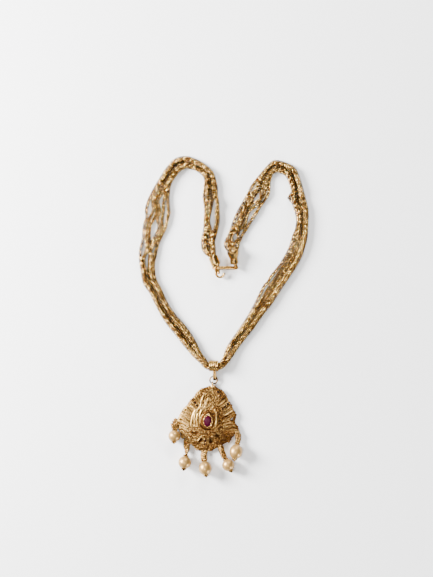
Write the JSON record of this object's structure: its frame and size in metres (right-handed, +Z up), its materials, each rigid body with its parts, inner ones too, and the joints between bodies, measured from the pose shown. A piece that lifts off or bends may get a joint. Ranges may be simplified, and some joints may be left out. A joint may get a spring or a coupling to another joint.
{
  "type": "long necklace",
  "caption": "Long necklace of fine round-link chain strands with a hook and eye clasp and a domed cast pendant with an oval red stone and pearl drops, lying flat.",
  "frame": {"origin": "centre of the bounding box in plan, on the surface that the necklace lies on", "axes": "+Z up from the surface, +Y from the pendant towards the neck end, +X to the right seen from above"},
  "size_m": [0.1359, 0.2569, 0.0106],
  "materials": {
    "chain_gold": "polished",
    "wire_gold": "polished",
    "cast_gold": "antiqued",
    "red_stone": "faceted",
    "pearl": "pearly"
  },
  "bodies": {
    "root": {"strand_1": "chain_gold", "strand_2": "chain_gold", "strand_3": "chain_gold", "strand_4": "chain_gold", "strand_5": "chain_gold", "strand_6": "chain_gold", "hook_end": "wire_gold", "eye_end": "wire_gold", "sleeve": "wire_gold", "bail_ring": "wire_gold", "pendant": "cast_gold", "red_stone": "red_stone", "pearl_1": "pearl", "pearl_2": "pearl", "pearl_3": "pearl", "pearl_4": "pearl", "pearl_5": "pearl", "pin_1": "wire_gold", "pin_2": "wire_gold", "pin_3": "wire_gold", "pin_4": "wire_gold", "pin_5": "wire_gold", "jump_ring_1": "wire_gold", "jump_ring_2": "wire_gold", "jump_ring_3": "wire_gold", "jump_ring_4": "wire_gold", "jump_ring_5": "wire_gold"}
  },
  "joints": []
}
